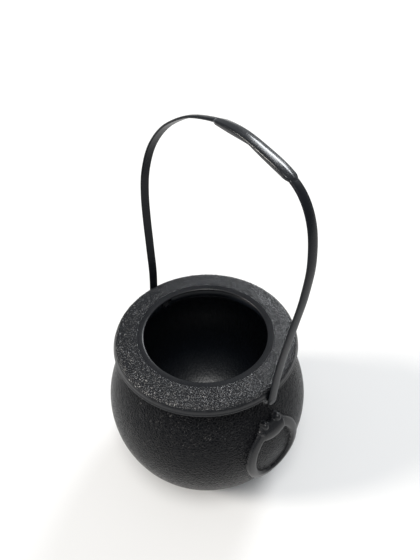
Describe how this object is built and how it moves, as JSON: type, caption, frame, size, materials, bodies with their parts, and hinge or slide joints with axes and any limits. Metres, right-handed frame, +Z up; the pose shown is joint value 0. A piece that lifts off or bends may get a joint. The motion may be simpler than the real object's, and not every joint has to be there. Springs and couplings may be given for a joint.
{
  "type": "cauldron",
  "caption": "Small hollow moulded plastic cauldron with a round belly, a wide grained rim, relief rings on its sides and a swinging strap handle.",
  "frame": {"origin": "on the pot's axis, in the plane of the flat ring it stands on", "axes": "+Z up along the pot's axis, +X along the handle's pivots toward the side where the strap bows out less, +Y toward the side the handle leans to at rest"},
  "size_m": [0.0967, 0.0902, 0.1608],
  "materials": {
    "pot_plastic": "black moulded plastic: pebble grain on the rim's shoulder and a finer grain on the belly, smooth inside",
    "handle_plastic": "black moulded plastic, satin strap with a glossy grip"
  },
  "bodies": {
    "pot": {"pot_body": "pot_plastic"},
    "handle": {"bail_handle": "handle_plastic"}
  },
  "joints": [
    {"name": "handle_swing", "type": "hinge", "parent": "pot", "child": "handle", "pos_m": [0, 0, 0.0696], "axis": [1, 0, 0], "range_deg": [-125, 143]}
  ]
}
